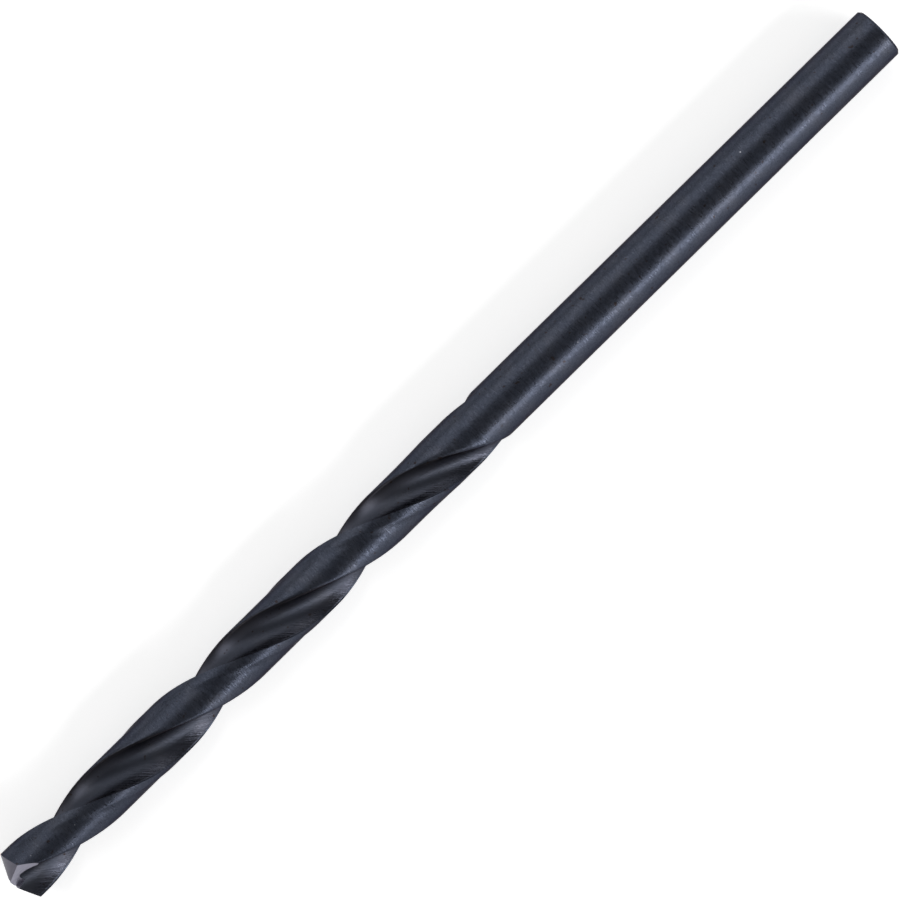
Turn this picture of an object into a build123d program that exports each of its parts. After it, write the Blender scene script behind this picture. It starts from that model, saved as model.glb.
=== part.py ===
"""Twist drill bit for metal, 3 mm, jobber length, turned and ground from one bar of high-speed steel.

The drill lies along X with its point towards -X and its plain shank towards +X.
One solid: a slightly tapered body with two right-hand flutes, a margin along each cutting side,
relieved lands behind the margins, a split point, and a plain shank for a three-jaw chuck.

Frame: millimetres, +Z up, the origin under the middle of the drill on the surface it lies on.
Angles round the axis are measured from +Y towards +Z.
"""
from build123d import *

import os
from math import acos, asin, ceil, cos, degrees, radians, sin, sqrt, tan

# Blank
overall_length = 62.0        # point to shank end
drill_diameter = 3.0         # over the margins, at the point
shank_diameter = 2.97        # the body tapers back to this size at the end of the flutes
shank_end_chamfer = 0.12

# Flutes
flute_length = 34.5          # from the point to where the run-out leaves the body
lead_length = 20.62          # advance for one full turn of the helix, right hand
phase_at_point = 159.1       # angle of the first cutting side where the drill's cone would end
flute_width = 94.0           # angle between cutting side and heel, at the point
web_thickness = 0.72         # solid core between the flutes, at the point
web_growth = 0.0125          # how far a flute moves outwards for each millimetre of length
root_radius = 0.40           # bottom of the flute
root_angle = 51.0            # the bottom lies this far behind the cutting side
rake_face_radius = 2.5       # hollow of the cutting face
heel_chamfer = 0.10          # blunted back edge of the land
runout_radius = 12.0         # arc on which the grinding wheel leaves the flute

# Margins and relieved lands
margin_width = 0.53          # narrow strip at full diameter along the cutting side
margin_step_slope = 17.0     # slope from the margin down to the land
body_clearance = 0.06        # depth of the land below the margin
clearance_runout = 6.6       # the land starts to rise to full diameter this far before the flutes end
clearance_runout_radius = 60.0  # arc on which it rises

# Point
point_angle = 126.0
flank_lean = 10.5            # lean of the grinding cone that gives the lips their relief
flank_lean_direction = 38.0  # the cone leans towards this angle in front of the lip
split_depth = 0.11           # the split lowers the tip by this much below the cones' apex
split_back_angle = 30.7      # back wall of the split, measured from the drill's axis
chisel_angle = 39.5          # chisel edge, measured from the lip
split_rake_offset = 0.29     # front wall of the split, measured from the axis
split_rake_turn = 24.2       # that wall's facing, measured from the lip
split_rake_slope = 12.0      # its slope along the drill

# Values that follow from the sizes above
drill_radius = drill_diameter / 2
shank_radius = shank_diameter / 2
stations_per_turn = 12       # sections that guide the twisted surfaces
station_step = lead_length / stations_per_turn
tool_radius = drill_radius + shank_radius / 2  # the cutters reach this far out, well outside the body
cone_end = overall_length + split_depth
flute_end = flute_length + split_depth
clearance_end = flute_end - clearance_runout


def body_radius(x):
    """Radius over the margins at a distance from the cones' apex."""
    share = min(max(x / flute_end, 0.0), 1.0)
    return drill_radius + (shank_radius - drill_radius) * share


def rise_on_arc(distance, radius):
    """Height gained after a distance along an arc that starts level."""
    if distance <= 0:
        return 0.0
    reach = min(distance, radius)
    return radius - sqrt(radius**2 - reach**2)


def on_circle(radius, angle):
    """Point of the section plane, with the cutting side at angle 0 and its flute at negative angles."""
    return Vector(radius * cos(radians(angle)), radius * sin(radians(angle)))


def turned(angle):
    """Direction across the drill at an angle round its axis."""
    return Vector(0, cos(radians(angle)), sin(radians(angle)))


def circle_to_radius(centre, circle_radius, radius):
    """Point, on the side of growing angles, where a circle meets a circle round the axis."""
    distance = centre.length
    inward = (radius**2 - circle_radius**2 + distance**2) / (2 * distance)
    unit = centre.normalized()
    return unit * inward + unit.rotate(Axis.Z, 90) * sqrt(radius**2 - inward**2)


def along_line_to_radius(start, direction, radius):
    """Point where a line through start, followed in its direction, leaves a circle round the axis."""
    unit = direction.normalized()
    middle = start.dot(unit)
    return start + unit * (sqrt(middle**2 + radius**2 - start.dot(start)) - middle)


# The flute's section at the point: a root circle that touches the web, the cutting face as an arc
# that runs into it, and a straight heel wall that touches it on the other side.
root_centre = on_circle(web_thickness / 2 + root_radius, -root_angle)
cutting_corner = on_circle(drill_radius, 0)
heel_corner = on_circle(drill_radius - body_clearance, -flute_width)

to_corner = cutting_corner - root_centre
corner_distance = to_corner.length
arc_gap = rake_face_radius - root_radius
along = (arc_gap**2 - rake_face_radius**2 + corner_distance**2) / (2 * corner_distance)
across = sqrt(arc_gap**2 - along**2)
unit_to_corner = to_corner.normalized()
rake_centre = root_centre + unit_to_corner * along + unit_to_corner.rotate(Axis.Z, -90) * across

to_heel = heel_corner - root_centre
tangent_turn = degrees(acos(root_radius / to_heel.length))
wall_normal = to_heel.normalized().rotate(Axis.Z, -tangent_turn)
wall_foot = root_centre + wall_normal * root_radius
wall_direction = (heel_corner - wall_foot).normalized()

# The flute closes where its root circle has moved out of the body.
shift_at_end = sqrt((shank_radius + root_radius) ** 2 - root_centre.Y**2) - root_centre.X
runout_rise = shift_at_end - web_growth * flute_end
runout_length = sqrt(runout_radius**2 - (runout_radius - runout_rise) ** 2)
runout_start = flute_end - runout_length


def flute_section(x):
    """Closed outline of what is ground away on one side at x: flute, heel and relieved land."""
    radius = body_radius(x)
    land_rise = rise_on_arc(x - clearance_end, clearance_runout_radius)
    land_radius = radius - body_clearance + land_rise
    shift = Vector(web_growth * x + rise_on_arc(x - runout_start, runout_radius), 0)
    root = root_centre + shift
    rake = rake_centre + shift
    foot = wall_foot + shift

    margin_edge = on_circle(radius, degrees(margin_width / radius) - 180)
    up_the_step = margin_edge.rotate(Axis.Z, margin_step_slope - 90)
    step_top = along_line_to_radius(margin_edge, up_the_step, tool_radius)
    step_foot = along_line_to_radius(margin_edge, up_the_step, land_radius)

    heel = along_line_to_radius(foot, wall_direction, land_radius)
    heel_on_wall = heel - wall_direction * heel_chamfer
    heel_on_land = heel.rotate(Axis.Z, -degrees(heel_chamfer / land_radius))
    land_middle = (step_foot + heel_on_land).normalized() * land_radius

    # The cutting face leaves the root circle and runs out past the margin
    rake_foot = root + (root - rake).normalized() * root_radius
    root_middle = root + ((foot + rake_foot) / 2 - root).normalized() * root_radius
    rake_top = circle_to_radius(rake, rake_face_radius, tool_radius)
    rake_middle = rake + ((rake_foot + rake_top) / 2 - rake).normalized() * rake_face_radius
    far_side = on_circle(tool_radius, -90)

    section = Plane(
        origin=(x, 0, 0),
        x_dir=turned(phase_at_point + 360 * x / lead_length),
        z_dir=(1, 0, 0),
    )
    place = section.from_local_coords
    return Wire(
        [
            Edge.make_line(place(step_top), place(step_foot)),
            Edge.make_three_point_arc(place(step_foot), place(land_middle), place(heel_on_land)),
            Edge.make_line(place(heel_on_land), place(heel_on_wall)),
            Edge.make_line(place(heel_on_wall), place(foot)),
            Edge.make_three_point_arc(place(foot), place(root_middle), place(rake_foot)),
            Edge.make_three_point_arc(place(rake_foot), place(rake_middle), place(rake_top)),
            Edge.make_three_point_arc(place(rake_top), place(far_side), place(step_top)),
        ]
    )


def flute_cutter():
    """Everything that is ground away on one side of the body, as one twisted solid."""
    tool_start = -station_step / 2
    tool_end = flute_end + heel_chamfer
    count = ceil((tool_end - tool_start) / station_step)
    stations = [tool_start + (tool_end - tool_start) * i / count for i in range(count + 1)]
    return Solid.make_loft([flute_section(x) for x in stations])


def blank():
    """Turned bar: body with its back taper, shank and end chamfer."""
    outline = Polyline(
        (0, 0),
        (0, drill_radius),
        (flute_end, shank_radius),
        (cone_end - shank_end_chamfer, shank_radius),
        (cone_end, shank_radius - shank_end_chamfer),
        (cone_end, 0),
        close=True,
    )
    return revolve(make_face(outline), Axis.X)


# Directions at the point, all measured from the lip on the side that flute_section describes
corner_x = drill_radius / tan(radians(point_angle / 2))
lip_angle = phase_at_point + 360 * corner_x / lead_length + degrees(asin(web_thickness / drill_diameter))
chisel_side = lip_angle + chisel_angle
point_block = 3 * drill_radius  # length of what the point's grinding can reach
reach = 2 * point_block


def flank_cutter():
    """What the grinding cone leaves behind it on one land, from the chisel edge outwards."""
    lean = radians(flank_lean)
    lip = radians(point_angle / 2)
    facing = cos(radians(flank_lean_direction))
    half_angle = acos(cos(lip) * cos(lean) + sin(lip) * sin(lean) * facing)
    lean_side = turned(lip_angle - flank_lean_direction)
    cone_axis = Vector(cos(lean), 0, 0) + lean_side * sin(lean)
    ground = Plane(origin=(0, 0, 0), z_dir=cone_axis) * Cone(
        0, reach * tan(half_angle), reach, align=(Align.CENTER, Align.CENTER, Align.MIN)
    )
    side = Plane(origin=(0, 0, 0), x_dir=(1, 0, 0), z_dir=turned(chisel_side))
    block = side * Pos(-drill_radius, 0, 0) * Box(
        point_block, reach, reach, align=(Align.MIN, Align.CENTER, Align.MIN)
    )
    return block - ground


def split_cutter():
    """Notch that splits the point: its front wall sharpens the lip's inner end."""
    back = radians(split_back_angle)
    slope = radians(split_rake_slope)
    back_facing = Vector(-sin(back), 0, 0) + turned(chisel_side - 90) * cos(back)
    rake_facing = Vector(-sin(slope), 0, 0) + turned(lip_angle + split_rake_turn + 180) * cos(slope)
    beyond = (Align.CENTER, Align.CENTER, Align.MIN)
    back_side = Plane(origin=(split_depth, 0, 0), z_dir=back_facing) * Box(reach, reach, reach, align=beyond)
    rake_side = Plane(origin=rake_facing * -split_rake_offset, z_dir=rake_facing) * Box(
        reach, reach, reach, align=beyond
    )
    return back_side & rake_side


half_turn = Rot(X=180)
drill = blank()
for cutter in (flute_cutter(), flank_cutter(), split_cutter()):
    drill = drill - cutter - half_turn * cutter

# From the cones' apex to the drill's own origin, lying on its margins
drill = Pos(-split_depth - overall_length / 2, 0, drill_radius) * drill

os.makedirs("parts", exist_ok=True)
export_step(drill, "parts/drill_bit.step")
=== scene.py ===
from math import acos, asin, atan2, cos, pi, radians, sin, sqrt, tan, tau

import bpy
from mathutils import Matrix, Vector


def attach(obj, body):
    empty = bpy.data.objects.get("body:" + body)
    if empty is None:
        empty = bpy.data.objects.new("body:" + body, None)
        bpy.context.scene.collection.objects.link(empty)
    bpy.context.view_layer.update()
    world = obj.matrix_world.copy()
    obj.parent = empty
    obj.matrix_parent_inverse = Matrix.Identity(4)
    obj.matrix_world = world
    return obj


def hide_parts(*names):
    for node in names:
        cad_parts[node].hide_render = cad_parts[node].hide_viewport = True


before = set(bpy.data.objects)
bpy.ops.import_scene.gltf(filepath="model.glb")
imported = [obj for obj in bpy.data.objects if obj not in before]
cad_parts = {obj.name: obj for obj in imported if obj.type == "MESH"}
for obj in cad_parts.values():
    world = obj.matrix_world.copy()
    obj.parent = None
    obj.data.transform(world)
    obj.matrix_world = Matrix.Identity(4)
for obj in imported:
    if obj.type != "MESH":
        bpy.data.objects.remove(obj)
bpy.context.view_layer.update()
bpy.ops.object.select_all(action="DESELECT")


# -------------------------------------------------------------------------------------------------
# Body: one bar of high-speed steel with its flutes, margins, relieved lands and plain shank ground
# in, and blackened in steam afterwards. It is a skin wrapped round the drill from a flat grid: its
# rows are sections across the drill, and its columns follow the margins, lands, heels and flutes.

mm = 0.001                         # sizes are in millimetres until the finished mesh is scaled
overall_length = 62.0
drill_radius = 1.5                 # over the margins, at the point
shank_radius = 1.485
end_chamfer = 0.12                 # round the shank's end
split_depth = 0.11                 # the split lowers the tip this far below the point's own cones
end_face = overall_length + split_depth      # places along the drill are measured from the cones' apex
apex_x = -overall_length / 2 - split_depth

flute_end = 34.5 + split_depth
lead = 20.62                       # advance of the flutes for one full turn, right hand
phase_at_point = radians(159.1)    # angle of the first cutting corner at the cones' apex
flute_angle = radians(94.0)        # from the cutting corner round to the heel
half_web = 0.36                    # half the core between the flutes, at the point
web_growth = 0.0125                # a flute moves outwards this far for each millimetre of length
root_radius = 0.80                 # bottom of the flute
root_angle = radians(47.0)         # the bottom lies this far behind the cutting corner
rake_radius = 5.0                  # hollow of the cutting face
heel_wall_radius = 40.0            # hollow of the heel's wall, which is nearly flat
heel_round = 0.20                  # the heel is rounded this far to each side of its edge
runout_radius = 12.0               # arc on which the grinding wheel leaves the flute
outline_reach = 2.3                # the flute's outline is followed out to this radius

margin_width = 0.53                # narrow strip at full diameter along the cutting side
step_slope = radians(17.0)         # slope from the margin down to the land
step_least = 0.01                  # angle that the step still spans where the land reaches the margin
clearance = 0.06                   # depth of the land below the margin
clearance_end = flute_end - 6.6    # the land starts to rise to full diameter here
clearance_runout_radius = 60.0     # arc on which it rises

# Columns across half a section
margin_columns = 8
step_columns = 2
land_columns = 24
heel_columns = 8
flute_columns = 44
half_columns = margin_columns + step_columns + land_columns + heel_columns + flute_columns


def rise_on_arc(distance, radius):
    """Height gained after a distance along an arc that starts level."""
    if distance <= 0:
        return 0.0
    return radius - sqrt(radius ** 2 - min(distance, radius) ** 2)


def at(radius, angle):
    """Point of the section plane at a radius and an angle, with the cutting corner at angle 0."""
    return Vector((radius * cos(angle), radius * sin(angle)))


def turned(vector, angle):
    return Matrix.Rotation(angle, 2) @ vector


def arc(centre, start, end, count):
    """Points on the short arc from start to end round centre, both ends included."""
    first = atan2(start.y - centre.y, start.x - centre.x)
    sweep = (atan2(end.y - centre.y, end.x - centre.x) - first + pi) % tau - pi
    radius = (start - centre).length
    return [centre + at(radius, first + sweep * i / count) for i in range(count + 1)]


def hollow_wall(root, corner, wall_radius, side):
    """Centre, foot and outer end of the arc that leaves the root circle and goes through a corner."""
    to_corner = corner - root
    gap = wall_radius - root_radius
    along = (gap ** 2 - wall_radius ** 2 + to_corner.length_squared) / (2 * to_corner.length)
    across = sqrt(gap ** 2 - along ** 2)
    unit = to_corner.normalized()
    centre = root + unit * along + turned(unit, side * pi / 2) * across
    foot = root + (root - centre).normalized() * root_radius
    inward = (outline_reach ** 2 - wall_radius ** 2 + centre.length_squared) / (2 * centre.length)
    unit = centre.normalized()
    top = unit * inward + turned(unit, -side * pi / 2) * sqrt(outline_reach ** 2 - inward ** 2)
    return centre, foot, top


def flute_outline():
    """The flute at the point as a fine line, from outside the heel to outside the cutting corner."""
    root = at(half_web + root_radius, -root_angle)
    heel = at(drill_radius - clearance, -flute_angle)
    cutting_corner = at(drill_radius, 0)
    heel_centre, heel_foot, heel_top = hollow_wall(root, heel, heel_wall_radius, 1)
    rake_centre, rake_foot, rake_top = hollow_wall(root, cutting_corner, rake_radius, -1)
    line = arc(heel_centre, heel_top, heel_foot, 90)[:-1]
    line += arc(root, heel_foot, rake_foot, 80)[:-1]
    line += arc(rake_centre, rake_foot, rake_top, 120)
    return line


# The flute closes where its root circle has moved out of the body
flute_line = flute_outline()
root_reach = half_web + root_radius
shift_at_end = sqrt((shank_radius + root_radius) ** 2 - root_reach ** 2 * sin(root_angle) ** 2)
shift_at_end -= root_reach * cos(root_angle)
runout_rise = shift_at_end - web_growth * flute_end
runout_start = flute_end - sqrt(runout_radius ** 2 - (runout_radius - runout_rise) ** 2)


def inside_flute(x, entry_radius, exit_radius):
    """The stretch of the flute's line at x that lies inside the body, cut where it leaves it."""
    shift = Vector((web_growth * x + rise_on_arc(x - runout_start, runout_radius), 0))
    line = [point + shift for point in flute_line]
    lengths = [point.length for point in line]
    lowest = min(range(len(line)), key=lengths.__getitem__)
    first = lowest
    while first > 0 and lengths[first] < entry_radius:
        first -= 1
    last = lowest
    while last < len(line) - 1 and lengths[last] < exit_radius:
        last += 1
    share_in = (entry_radius - lengths[first]) / (lengths[first + 1] - lengths[first])
    share_out = (exit_radius - lengths[last - 1]) / (lengths[last] - lengths[last - 1])
    start = line[first].lerp(line[first + 1], min(max(share_in, 0.0), 1.0))
    end = line[last - 1].lerp(line[last], share_out)
    return [start] + line[first + 1:last] + [end]


def evenly(line, count):
    """count + 1 points spaced evenly along a line of points."""
    distances = [0.0]
    for a, b in zip(line, line[1:]):
        distances.append(distances[-1] + (b - a).length)
    points = []
    k = 0
    for i in range(count + 1):
        wanted = distances[-1] * i / count
        while k < len(line) - 2 and distances[k + 1] < wanted:
            k += 1
        span = distances[k + 1] - distances[k]
        points.append(line[k].lerp(line[k + 1], (wanted - distances[k]) / span if span else 0.0))
    return points


def half_section(x):
    """Half of the section at x: from the far cutting corner over margin, step, land, heel and flute."""
    radius = drill_radius + (shank_radius - drill_radius) * min(max(x / flute_end, 0.0), 1.0)
    land_rise = rise_on_arc(x - clearance_end, clearance_runout_radius)
    land = min(radius - clearance + land_rise, radius)
    flute = inside_flute(x, land, radius)
    heel = atan2(flute[0].y, flute[0].x)
    corner = atan2(flute[-1].y, flute[-1].x) - pi
    edge = corner + margin_width / radius
    step = step_slope - acos(min(radius * cos(step_slope) / land, 1.0))
    foot = edge + max(step, step_least)

    points = [at(radius, corner + (edge - corner) * i / margin_columns) for i in range(margin_columns)]
    points += [at(radius, edge).lerp(at(land, foot), i / step_columns) for i in range(step_columns)]

    # The heel is a soft curve from the land, over the heel's edge, to the flute's wall
    fine_count = 400
    fine = evenly(flute, fine_count)
    length = sum((b - a).length for a, b in zip(flute, flute[1:]))
    reach = min(heel_round, length / 5)
    heel_start = heel - reach / land
    points += [at(land, foot + (heel_start - foot) * i / land_columns) for i in range(land_columns)]
    after = max(1, round(fine_count * reach / length))
    a, b, c = at(land, heel_start), fine[0], fine[after]
    for i in range(heel_columns):
        t = i / heel_columns
        points.append(a * (1 - t) ** 2 + b * 2 * t * (1 - t) + c * t ** 2)
    return points + evenly(fine[after:], flute_columns)[:-1]


last_cut = flute_end - 0.02        # the flutes' last section, a hair before they close
easing = 3.0                       # length over which the columns ease apart behind them


def eased_round(half, x):
    """Behind the flutes the columns ease apart until they are evenly spaced round the shank."""
    share = min((x - last_cut) / easing, 1.0)
    share = share * share * (3 - 2 * share)
    radius = shank_radius - max(0.0, x - (end_face - end_chamfer))
    start = atan2(half[0].y, half[0].x)
    points = []
    for i, point in enumerate(half):
        angle = (atan2(point.y, point.x) - start) % tau
        even = pi * i / half_columns
        points.append(at(radius, start + angle + (even - angle) * share))
    return points


def section(x):
    """The whole section at x, turned by the helix, as points (y, z) round the drill's axis."""
    half = half_section(min(x, last_cut))
    if x > last_cut:
        half = eased_round(half, x)
    turn = phase_at_point + tau * min(x, last_cut) / lead
    return [turned(point, turn + side) for side in (0, pi) for point in half]


# Rows: close together along the flutes, closer still where they run out, and wide on the shank
first_row = -0.3
fine_step = 0.12
closing = 1.5
closing_rows = 24
easing_step = 0.3
easing_rows = 11
shank_rows = 18
row_places = [first_row + fine_step * i for i in range(int((last_cut - closing) / fine_step))]
row_places += [last_cut - closing * (1 - i / closing_rows) ** 2 for i in range(closing_rows + 1)]
row_places += [last_cut + easing_step * i for i in range(1, easing_rows + 1)]
shank_start = row_places[-1]
shank_length = end_face - end_chamfer - shank_start
row_places += [shank_start + shank_length * i / shank_rows for i in range(1, shank_rows + 1)]
row_places += [end_face]


def wrapped_skin(name, places):
    """A flat grid wrapped round the drill, one row for each place along it, closed at both ends."""
    columns = 2 * half_columns
    bpy.ops.mesh.primitive_grid_add(x_subdivisions=len(places) - 1, y_subdivisions=columns, size=1)
    skin = bpy.context.object
    skin.name = name
    verts = skin.data.vertices
    order = sorted(range(len(verts)), key=lambda i: (round(verts[i].co.x, 6), round(verts[i].co.y, 6)))
    for row, x in enumerate(places):
        ring = section(x)
        for column in range(columns + 1):
            verts[order[row * (columns + 1) + column]].co = (x, *ring[column % columns])
    bpy.ops.object.mode_set(mode="EDIT")
    bpy.ops.mesh.select_all(action="SELECT")
    bpy.ops.mesh.remove_doubles(threshold=1e-5)
    bpy.ops.mesh.select_all(action="DESELECT")
    bpy.ops.mesh.select_non_manifold()
    bpy.ops.mesh.edge_face_add()
    bpy.ops.mesh.select_all(action="SELECT")
    bpy.ops.mesh.normals_make_consistent(inside=False)
    bpy.ops.object.mode_set(mode="OBJECT")
    return skin


# The point's cutters reach only the front rows, so the skin is made as two parts, joined again later
front_rows = 38
seam = row_places[front_rows - 1]
drill = wrapped_skin("twist_drill", row_places[:front_rows])
body = wrapped_skin("body", row_places[front_rows - 1:])


def linear(colour):
    """A colour written as sRGB hex, as linear red, green, blue and alpha."""
    parts = [int(colour[i:i + 2], 16) / 255 for i in (1, 3, 5)]
    return [c / 12.92 if c <= 0.04045 else ((c + 0.055) / 1.055) ** 2.4 for c in parts] + [1.0]


def add_node(material, kind, inputs=(), **settings):
    """Adds a node, sets it, and gives its inputs a value or a link from another node's output."""
    node = material.node_tree.nodes.new(kind)
    for name, value in settings.items():
        setattr(node, name, value)
    for socket, value in dict(inputs).items():
        if isinstance(value, bpy.types.NodeSocket):
            material.node_tree.links.new(value, node.inputs[socket])
        else:
            node.inputs[socket].default_value = value
    return node


# Steam oxide on ground high-speed steel: a thin blue-black skin that takes the shine off the steel
# and still shows the grinding under it. Lands and shank carry fine rings that break up their long
# highlight, and the cutting faces have slanting marks that glint near the edge.
oxide = bpy.data.materials.new("black_oxide_on_ground_steel")
oxide.use_nodes = True
for skin in (drill, body):
    skin.data.materials.append(oxide)
shader = oxide.node_tree.nodes["Principled BSDF"]
shader.inputs["Metallic"].default_value = 1.0
shader.inputs["Specular Tint"].default_value = linear("#aca8a8")

# Where on the drill a spot is: its distance from the axis, and its place in the untwisted section
place = add_node(oxide, "ShaderNodeTexCoord")
from_axis = add_node(oxide, "ShaderNodeVectorMath", {
    0: place.outputs["Object"], 1: (apex_x * mm, 0, drill_radius * mm)}, operation="SUBTRACT")
along = add_node(oxide, "ShaderNodeSeparateXYZ", {"Vector": from_axis.outputs[0]})
untwist = add_node(oxide, "ShaderNodeMath", {
    0: along.outputs["X"], 1: -tau / (lead * mm), 2: -phase_at_point}, operation="MULTIPLY_ADD")
with_flutes = add_node(oxide, "ShaderNodeVectorRotate", {
    "Vector": from_axis.outputs[0], "Angle": untwist.outputs[0]}, rotation_type="X_AXIS")
in_section = add_node(oxide, "ShaderNodeSeparateXYZ", {"Vector": with_flutes.outputs[0]})
across_only = add_node(oxide, "ShaderNodeVectorMath", {
    0: from_axis.outputs[0], 1: (0, 1, 1)}, operation="MULTIPLY")
radius = add_node(oxide, "ShaderNodeVectorMath", {0: across_only.outputs[0]}, operation="LENGTH")

# Full radius means a land, a margin or the shank, and all behind the flutes is shank
full_radius = add_node(oxide, "ShaderNodeMapRange", {
    "Value": radius.outputs["Value"], "From Min": 1.37 * mm, "From Max": 1.42 * mm},
    interpolation_type="SMOOTHSTEP")
behind_flutes = add_node(oxide, "ShaderNodeMath", {
    0: along.outputs["X"], 1: flute_end * mm}, operation="GREATER_THAN")
on_land = add_node(oxide, "ShaderNodeMath", {
    0: full_radius.outputs[0], 1: behind_flutes.outputs[0]}, operation="MAXIMUM")
out_of_root = add_node(oxide, "ShaderNodeMapRange", {
    "Value": radius.outputs["Value"], "From Min": 0.45 * mm, "From Max": 1.2 * mm},
    interpolation_type="SMOOTHSTEP")
heel_sheen_to_shade_ramp = add_node(oxide, "ShaderNodeMapRange", {
    "Value": radius.outputs["Value"], "From Min": 0.85 * mm, "From Max": 1.35 * mm})
slope = add_node(oxide, "ShaderNodeMath", {
    0: in_section.outputs["Z"], 1: in_section.outputs["Y"]}, operation="DIVIDE")
steepness = add_node(oxide, "ShaderNodeMath", {0: slope.outputs[0]}, operation="ABSOLUTE")
on_rake_side = add_node(oxide, "ShaderNodeMapRange", {
    "Value": steepness.outputs[0], "From Min": 0.9, "From Max": 1.5, "To Min": 1.0, "To Max": 0.0})

# Grinding rings round the drill, 15 to the millimetre. The real ones are a few hundredths of a
# millimetre apart and would not show, so they are drawn coarser.
ring_place = add_node(oxide, "ShaderNodeMapping", {
    "Vector": from_axis.outputs[0], "Scale": (15 / mm, 3 / mm, 3 / mm)})
rings = add_node(oxide, "ShaderNodeTexNoise", {
    "Vector": ring_place.outputs[0], "Scale": 1.0, "Detail": 1.5, "Roughness": 0.6})

# Marks of the flute's grinding wheel on the cutting faces, slanting out towards the edge: 8.5 to
# the millimetre across them, drawn coarser than the real ones too
slant = 0.95
mark_across = add_node(oxide, "ShaderNodeMath", {
    0: in_section.outputs["X"], 1: -slant, 2: radius.outputs["Value"]}, operation="MULTIPLY_ADD")
mark_along = add_node(oxide, "ShaderNodeMath", {
    0: radius.outputs["Value"], 1: slant, 2: in_section.outputs["X"]}, operation="MULTIPLY_ADD")
mark_place = add_node(oxide, "ShaderNodeCombineXYZ", {
    "X": mark_across.outputs[0], "Y": mark_along.outputs[0]})
mark_scale = add_node(oxide, "ShaderNodeMapping", {
    "Vector": mark_place.outputs[0], "Scale": (8.5 / mm, 0.7 / mm, 0)})
marks = add_node(oxide, "ShaderNodeTexNoise", {
    "Vector": mark_scale.outputs[0], "Scale": 1.0, "Detail": 3.0, "Roughness": 0.65})
flute_marks = add_node(oxide, "ShaderNodeMix", {
    "Factor": on_rake_side.outputs[0], 2: 0.5, 3: marks.outputs["Fac"]})
ground_marks = add_node(oxide, "ShaderNodeMix", {
    "Factor": on_land.outputs[0], 2: flute_marks.outputs[0], 3: rings.outputs["Fac"]})

# Grain of the oxide, 14 to the millimetre and so coarser than the real one
grain_place = add_node(oxide, "ShaderNodeMapping", {
    "Vector": from_axis.outputs[0], "Scale": (14 / mm, 14 / mm, 14 / mm)})
grain = add_node(oxide, "ShaderNodeTexNoise", {
    "Vector": grain_place.outputs[0], "Scale": 1.0, "Detail": 3.0, "Roughness": 0.7})

# The marks and the grain have depth, up to 0.04 mm in the flutes and much less on the lands
depth = add_node(oxide, "ShaderNodeMapRange", {"Value": on_land.outputs[0], "To Min": 0.7, "To Max": 0.2})
deep_marks = add_node(oxide, "ShaderNodeMath", {
    0: ground_marks.outputs[0], 1: depth.outputs[0]}, operation="MULTIPLY")
height = add_node(oxide, "ShaderNodeMath", {
    0: grain.outputs["Fac"], 1: 0.15, 2: deep_marks.outputs[0]}, operation="MULTIPLY_ADD")
bump = add_node(oxide, "ShaderNodeBump", {
    "Strength": 1.0, "Distance": 0.04 * mm, "Height": height.outputs[0]})

# Blue-black lands. The flutes are greyer, and their heel's wall has painted light and shade: a painted
# reflection palest low on the wall, darkening to painted shade along the heel.
land_colour = add_node(oxide, "ShaderNodeMix", {
    "Factor": grain.outputs["Fac"], "A": linear("#1a1f29"), "B": linear("#4e525e")}, data_type="RGBA")
# Painted reflection low on the heel's wall, fading outwards into painted shade along the heel
heel_painted_sheen_and_shade = add_node(oxide, "ShaderNodeMix", {
    "Factor": heel_sheen_to_shade_ramp.outputs[0], "A": linear("#585a65"), "B": linear("#2a292e")}, data_type="RGBA")
wall_colour = add_node(oxide, "ShaderNodeMix", {
    "Factor": on_rake_side.outputs[0], "A": heel_painted_sheen_and_shade.outputs["Result"], "B": linear("#3e4049")},
    data_type="RGBA")
flute_colour = add_node(oxide, "ShaderNodeMix", {
    "Factor": out_of_root.outputs[0], "A": linear("#3b3e47"), "B": wall_colour.outputs["Result"]},
    data_type="RGBA")
skin_colour = add_node(oxide, "ShaderNodeMix", {
    "Factor": on_land.outputs[0], "A": flute_colour.outputs["Result"], "B": land_colour.outputs["Result"]},
    data_type="RGBA")

# Worn patches a millimetre or so across, small brown stains, and a few specks of bare metal
patches = add_node(oxide, "ShaderNodeTexNoise", {
    "Vector": grain_place.outputs[0], "Scale": 0.06, "Detail": 3.0})
worn = add_node(oxide, "ShaderNodeMapRange", {
    "Value": patches.outputs["Fac"], "From Min": 0.45, "From Max": 0.75, "To Min": 0.0, "To Max": 0.06})
patchy = add_node(oxide, "ShaderNodeMix", {
    "Factor": worn.outputs[0], "A": skin_colour.outputs["Result"], "B": linear("#7b7673")},
    data_type="RGBA")
stains = add_node(oxide, "ShaderNodeTexNoise", {
    "Vector": grain_place.outputs[0], "Scale": 0.22, "Detail": 1.0})
stain = add_node(oxide, "ShaderNodeMapRange", {
    "Value": stains.outputs["Fac"], "From Min": 0.71, "From Max": 0.76, "To Min": 0.0, "To Max": 0.7})
stained = add_node(oxide, "ShaderNodeMix", {
    "Factor": stain.outputs[0], "A": patchy.outputs["Result"], "B": linear("#2b211c")}, data_type="RGBA")
dots = add_node(oxide, "ShaderNodeTexVoronoi", {"Vector": from_axis.outputs[0], "Scale": 1.5 / mm})
dot = add_node(oxide, "ShaderNodeMapRange", {
    "Value": dots.outputs["Distance"], "From Min": 0.03, "From Max": 0.07, "To Min": 1.0, "To Max": 0.0})
chance = add_node(oxide, "ShaderNodeSeparateColor", {"Color": dots.outputs["Color"]})
few = add_node(oxide, "ShaderNodeMath", {0: chance.outputs["Red"], 1: 0.93}, operation="GREATER_THAN")
speck = add_node(oxide, "ShaderNodeMath", {0: dot.outputs[0], 1: few.outputs[0]}, operation="MULTIPLY")
speckled = add_node(oxide, "ShaderNodeMix", {
    "Factor": speck.outputs[0], "A": stained.outputs["Result"], "B": linear("#a9aab2")}, data_type="RGBA")

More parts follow.
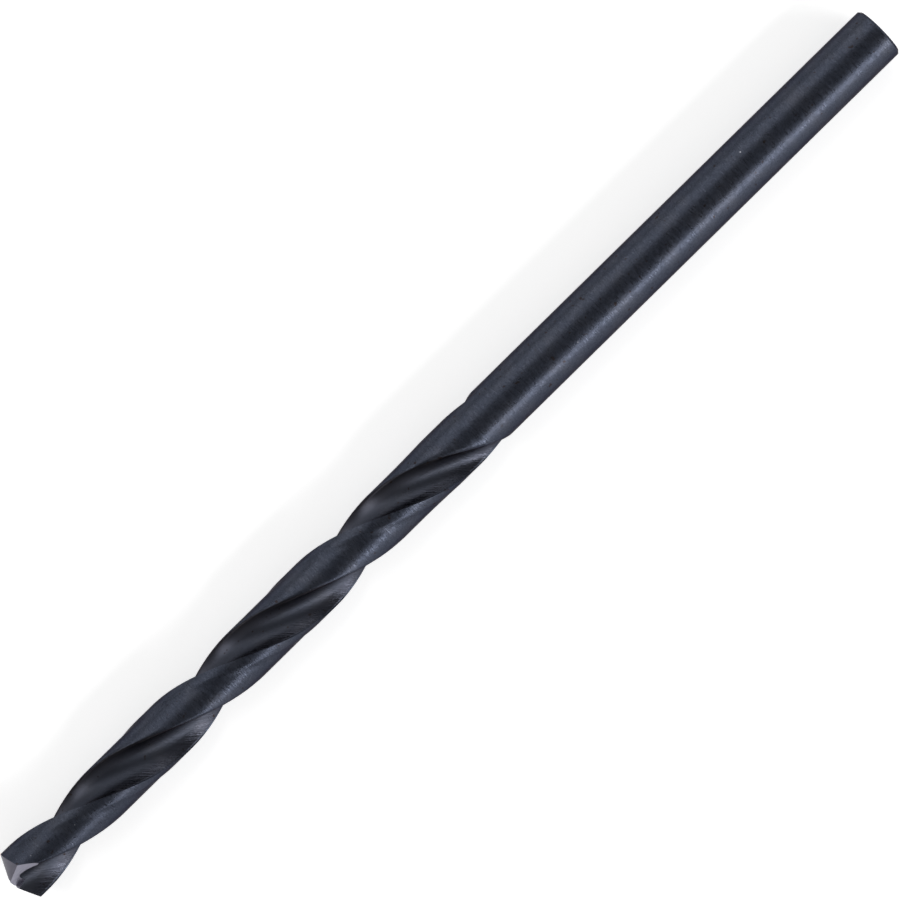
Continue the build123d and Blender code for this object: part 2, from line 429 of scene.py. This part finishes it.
# Satin where the marks lie low and duller where they stand up
land_roughness = add_node(oxide, "ShaderNodeMapRange", {
    "Value": rings.outputs["Fac"], "From Min": 0.3, "From Max": 0.7, "To Min": 0.24, "To Max": 0.50})
wall_roughness = add_node(oxide, "ShaderNodeMapRange", {
    "Value": flute_marks.outputs[0], "From Min": 0.4, "From Max": 0.6, "To Min": 0.20, "To Max": 0.42})
flute_roughness = add_node(oxide, "ShaderNodeMix", {
    "Factor": out_of_root.outputs[0], 2: 0.5, 3: wall_roughness.outputs[0]})
roughness = add_node(oxide, "ShaderNodeMix", {
    "Factor": on_land.outputs[0], 2: flute_roughness.outputs[0], 3: land_roughness.outputs[0]})
links = oxide.node_tree.links
links.new(speckled.outputs["Result"], shader.inputs["Base Color"])
links.new(roughness.outputs[0], shader.inputs["Roughness"])
links.new(bump.outputs[0], shader.inputs["Normal"])


# -------------------------------------------------------------------------------------------------
# Point: two relieved flanks, each ground as part of a leaned cone, and a split on each side of the
# chisel edge that thins the web. All of it is bare high-speed steel, cut through the black skin.

point_angle = radians(126.0)
flank_lean = radians(10.5)             # lean of the grinding cone that relieves the lips
lean_direction = radians(38.0)         # the cone leans towards this angle in front of the lip
chisel_angle = radians(39.5)           # chisel edge, measured from the lip
split_back_angle = radians(30.7)       # back wall of the split, measured from the drill's axis
split_rake_offset = 0.29               # front wall of the split, measured from the axis
split_rake_turn = radians(24.2)        # that wall's facing, measured from the lip
split_rake_slope = radians(12.0)       # its slope along the drill
point_block = 3 * drill_radius         # length of what the point's grinding can reach
reach = 2 * point_block
overlap = 0.003                        # the flanks' cutters share this much beside the chisel edge
cone_sides = 96

corner_x = drill_radius / tan(point_angle / 2)
lip_angle = phase_at_point + tau * corner_x / lead + asin(half_web / drill_radius)
chisel_side = lip_angle + chisel_angle

# Bare high-speed steel as the point grinder leaves it: pale grey, satin, with fine straight lines 14
# to the millimetre, drawn coarser than real. The flanks are a little rougher. Their colour is painted
# darker than the split's, as painted shade for the dimmer surroundings they reflect, and the split shows
# the steel's own paler grey.
steels = []
for name, dark, bright, dullness in (
    ("ground_flank_steel_with_painted_shade", "#4b4a54", "#65636f", 0.45),
    ("ground_split_high_speed_steel", "#7a7987", "#9a99a6", 0.42),
):
    steel = bpy.data.materials.new(name)
    steel.use_nodes = True
    place = add_node(steel, "ShaderNodeTexCoord")
    stretched = add_node(steel, "ShaderNodeMapping", {
        "Vector": place.outputs["Object"], "Scale": (1.5 / mm, 14 / mm, 1.5 / mm)})
    lines = add_node(steel, "ShaderNodeTexNoise", {
        "Vector": stretched.outputs[0], "Scale": 1.0, "Detail": 4.0})
    colour = add_node(steel, "ShaderNodeMix", {
        "Factor": lines.outputs["Fac"], "A": linear(dark), "B": linear(bright)}, data_type="RGBA")
    bump = add_node(steel, "ShaderNodeBump", {
        "Strength": 0.4, "Distance": 0.008 * mm, "Height": lines.outputs["Fac"]})
    shader = steel.node_tree.nodes["Principled BSDF"]
    steel.node_tree.links.new(colour.outputs["Result"], shader.inputs["Base Color"])
    steel.node_tree.links.new(bump.outputs[0], shader.inputs["Normal"])
    shader.inputs["Metallic"].default_value = 1.0
    shader.inputs["Roughness"].default_value = dullness
    steels.append(steel)
flank_steel_with_painted_shade, split_steel = steels


def across_axis(angle):
    """Direction across the drill at an angle round its axis."""
    return Vector((0, cos(angle), sin(angle)))


def boolean(target, tool, operation):
    """Cuts or keeps the target with the tool, which is used up. Both are made triangles first."""
    for part in (tool, target):
        bpy.context.view_layer.objects.active = part
        flat = part.modifiers.new("flat", "TRIANGULATE")
        bpy.ops.object.modifier_apply(modifier=flat.name)
    cut = target.modifiers.new("cut", "BOOLEAN")
    cut.operation = operation
    cut.solver = "EXACT"
    cut.material_mode = "TRANSFER"
    cut.object = tool
    bpy.ops.object.modifier_apply(modifier=cut.name)
    bpy.data.objects.remove(tool)
    return target


def flank_cutter():
    """What the grinding cone leaves behind it on one land, from the chisel edge outwards."""
    facing = cos(lean_direction)
    half_angle = acos(
        cos(point_angle / 2) * cos(flank_lean) + sin(point_angle / 2) * sin(flank_lean) * facing)
    axis = Vector((cos(flank_lean), 0, 0)) + across_axis(lip_angle - lean_direction) * sin(flank_lean)
    beside_chisel = across_axis(chisel_side) * (reach / 2 - overlap)
    bpy.ops.mesh.primitive_cube_add(
        size=1,
        location=Vector((point_block / 2 - drill_radius, 0, 0)) + beside_chisel,
        rotation=(chisel_side - pi / 2, 0, 0),
        scale=(point_block, reach, reach),
    )
    block = bpy.context.object
    bpy.ops.mesh.primitive_cone_add(
        vertices=cone_sides,
        radius1=0,
        radius2=reach * tan(half_angle),
        depth=reach,
        location=axis * reach / 2,
        rotation=axis.to_track_quat("Z", "Y").to_euler(),
    )
    cone = bpy.context.object
    for part in (block, cone):
        part.data.materials.append(flank_steel_with_painted_shade)
    return boolean(block, cone, "DIFFERENCE")


def filled_side(origin, facing):
    """A block with one face through origin, filling the side that facing points to."""
    bpy.ops.mesh.primitive_cube_add(
        size=reach,
        location=origin + facing * reach / 2,
        rotation=facing.to_track_quat("Z", "Y").to_euler(),
    )
    block = bpy.context.object
    block.data.materials.append(split_steel)
    return block


def split_cutter():
    """The notch beside the chisel edge: a back wall, and a front wall that sharpens the lip's end."""
    back = Vector((-sin(split_back_angle), 0, 0))
    back += across_axis(chisel_side - pi / 2) * cos(split_back_angle)
    rake = Vector((-sin(split_rake_slope), 0, 0))
    rake += across_axis(lip_angle + split_rake_turn + pi) * cos(split_rake_slope)
    behind = filled_side(Vector((split_depth, 0, 0)), back)
    before = filled_side(rake * -split_rake_offset, rake)
    return boolean(behind, before, "INTERSECT")


for make_cutter in (flank_cutter, split_cutter):
    for side in (0, pi):
        bpy.ops.object.select_all(action="DESELECT")
        cutter = make_cutter()
        cutter.data.transform(cutter.matrix_world)
        cutter.matrix_world = Matrix.Rotation(side, 4, "X")
        boolean(drill, cutter, "DIFFERENCE")


def open_end(skin, x):
    """Takes away the face that closes a skin at x."""
    bpy.ops.object.select_all(action="DESELECT")
    skin.select_set(True)
    bpy.context.view_layer.objects.active = skin
    bpy.ops.object.mode_set(mode="EDIT")
    bpy.ops.mesh.select_all(action="DESELECT")
    bpy.ops.object.mode_set(mode="OBJECT")
    for face in skin.data.polygons:
        face.select = abs(face.center.x - x) < 1e-4 and abs(face.normal.x) > 0.999
    bpy.ops.object.mode_set(mode="EDIT")
    bpy.ops.mesh.select_mode(type="FACE")
    bpy.ops.mesh.delete(type="FACE")
    bpy.ops.mesh.select_mode(type="VERT")
    bpy.ops.object.mode_set(mode="OBJECT")


# The pointed front and the rest of the body become one mesh again
open_end(body, seam)
open_end(drill, seam)
body.select_set(True)
bpy.ops.object.join()
bpy.ops.object.mode_set(mode="EDIT")
bpy.ops.mesh.select_all(action="SELECT")
bpy.ops.mesh.remove_doubles(threshold=1e-5)
bpy.ops.object.mode_set(mode="OBJECT")

# From millimetres round its own axis to metres, lying on the floor. Only ground edges stay sharp.
drill.scale = (mm, mm, mm)
drill.location = (apex_x * mm, 0, drill_radius * mm)
bpy.ops.object.transform_apply(location=True, rotation=True, scale=True)
sharp_from = radians(28)
bpy.ops.object.shade_smooth_by_angle(angle=sharp_from)
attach(drill, "root")
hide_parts("drill_bit")


# -------------------------------------------------------------------------------------------------
# Floor: a sheet of white paper, matt and without gloss. It glows a little for the camera and in
# reflections alone, so it reads as white and still keeps the drill's shadow.

bpy.ops.mesh.primitive_plane_add(size=3, location=(0, 0, 0))
floor = bpy.context.object
floor.name = "floor"
paper = bpy.data.materials.new("white_paper")
paper.use_nodes = True
floor.data.materials.append(paper)
shader = paper.node_tree.nodes["Principled BSDF"]
shader.inputs["Base Color"].default_value = linear("#f4f4f4")
shader.inputs["Roughness"].default_value = 0.9
shader.inputs["Specular IOR Level"].default_value = 0.0
shader.inputs["Emission Color"].default_value = (1, 1, 1, 1)
glow = 0.48
seen = add_node(paper, "ShaderNodeLightPath")
seen_or_mirrored = add_node(paper, "ShaderNodeMath", {
    0: seen.outputs["Is Camera Ray"], 1: seen.outputs["Is Glossy Ray"]}, operation="MAXIMUM")
seen_at_all = add_node(paper, "ShaderNodeMath", {
    0: seen_or_mirrored.outputs[0], 1: seen.outputs["Is Transmission Ray"]}, operation="MAXIMUM")
lift = add_node(paper, "ShaderNodeMath", {0: seen_at_all.outputs[0], 1: glow}, operation="MULTIPLY")
paper.node_tree.links.new(lift.outputs[0], shader.inputs["Emission Strength"])


# -------------------------------------------------------------------------------------------------
# Lights: soft boxes beside the drill on stands, with white cloth fronts, and a plain white room.
# The narrow one on the right draws the long highlight, and the small one lights the point's flanks.


def lamp(name, side_angle, distance, along_drill, length, width, power):
    """A rectangular lamp beside the drill, at an angle from straight up towards +Y."""
    bpy.ops.object.light_add(
        type="AREA",
        location=(along_drill, sin(side_angle) * distance, cos(side_angle) * distance),
        rotation=(-side_angle, 0, 0),
    )
    light = bpy.context.object
    light.name = name
    light.data.shape = "RECTANGLE"
    light.data.size = length
    light.data.size_y = width
    light.data.energy = power


lamp("left_softbox", radians(54), 0.5, 0.18, 0.6, 0.42, 1.1)
lamp("back_softbox", radians(34), 0.45, -0.27, 0.2, 0.2, 0.35)
lamp("right_softbox", radians(-56), 0.5, 0.22, 0.6, 0.12, 1.9)
lamp("right_fill", radians(-76), 0.5, 0.22, 0.6, 0.22, 0.6)

world = bpy.data.worlds.new("studio")
bpy.context.scene.world = world
world.use_nodes = True
room = world.node_tree.nodes["Background"]
room.inputs["Color"].default_value = (1, 1, 1, 1)
room.inputs["Strength"].default_value = 0.28


# -------------------------------------------------------------------------------------------------
# Camera: straight above the drill with a long lens, turned so that the drill lies from one corner
# of the frame to the other.

camera_distance = 0.245
bpy.ops.object.camera_add(
    location=(0.43 * mm, 0.13 * mm, drill_radius * mm + camera_distance),
    rotation=(0, 0, radians(-44.5)),
)
camera = bpy.context.object
camera.data.sensor_width = 36
camera.data.lens = 192.2
camera.data.clip_start = 0.01
camera.data.clip_end = 10
bpy.context.scene.camera = camera
bpy.context.scene.view_settings.view_transform = "Standard"
